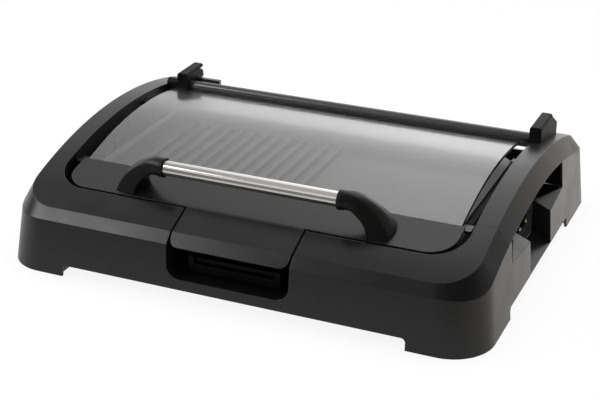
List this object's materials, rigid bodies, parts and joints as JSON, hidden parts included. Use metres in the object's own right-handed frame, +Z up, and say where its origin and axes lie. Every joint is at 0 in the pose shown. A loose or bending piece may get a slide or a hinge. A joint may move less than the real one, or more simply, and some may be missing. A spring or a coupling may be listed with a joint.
{
  "type": "electric indoor grill with lid",
  "caption": "Tabletop electric grill: arched base shell, ribbed plate, pull-out drip tray and a hinged clear lid with a tube handle.",
  "frame": {"origin": "middle of the footprint, on the plane that the rubber pads stand on", "axes": "+X to the right, along the front; +Y to the rear, towards the lid's hinge; +Z up"},
  "size_m": [0.56, 0.4244, 0.1318],
  "materials": {
    "housing_plastic": "satin",
    "arm_plastic": "satin",
    "cover_plastic": "matte",
    "hinge_plastic": "satin",
    "handle_plastic": "satin",
    "panel_plastic": "gloss",
    "lid_glass": "polished",
    "plate_coating": "satin",
    "pan_steel": "satin",
    "heater_sheath": "satin",
    "tray_metal": "satin",
    "rail_metal": "satin",
    "bar_metal": "satin",
    "handle_steel": "satin",
    "screw_steel": "polished",
    "contact_metal": "polished",
    "terminal_ceramic": "matte",
    "foot_rubber": "matte"
  },
  "bodies": {
    "base": {"base_housing": "housing_plastic", "left_arm": "arm_plastic", "right_arm": "arm_plastic", "bottom_cover": "cover_plastic", "cover_screws": "screw_steel", "foot_pads": "foot_rubber", "reflector_pan": "pan_steel", "pan_posts": "pan_steel", "grill_plate": "plate_coating", "heating_element": "heater_sheath", "element_clamps": "pan_steel", "terminal_block": "terminal_ceramic", "terminal_pins": "contact_metal", "probe_sleeve": "contact_metal", "inlet_shroud": "cover_plastic", "tray_rail_left": "rail_metal", "tray_rail_right": "rail_metal", "hinge_lug_left": "hinge_plastic", "hinge_block_right": "hinge_plastic", "lid_rest_pads": "arm_plastic"},
    "lid": {"lid_glass": "lid_glass", "lid_front_panel": "panel_plastic", "glass_retainer": "rail_metal", "retainer_screws": "screw_steel", "lid_rear_bar": "bar_metal", "hinge_pin_left": "screw_steel", "hinge_pin_right": "screw_steel", "lid_bracket_left": "hinge_plastic", "stop_bar": "bar_metal", "handle_bracket_left": "handle_plastic", "handle_bracket_right": "handle_plastic", "handle_tube": "handle_steel", "handle_screws": "screw_steel"},
    "tray": {"drip_tray": "tray_metal", "tray_pull": "cover_plastic"}
  },
  "joints": [
    {"name": "lid_hinge", "type": "hinge", "parent": "base", "child": "lid", "pos_m": [0, 0.1165, 0.1116], "axis": [-1, 0, 0], "range_deg": [0, 100]},
    {"name": "tray_slide", "type": "slide", "parent": "base", "child": "tray", "axis": [0, -1, 0], "range_m": [0, 0.2]}
  ]
}
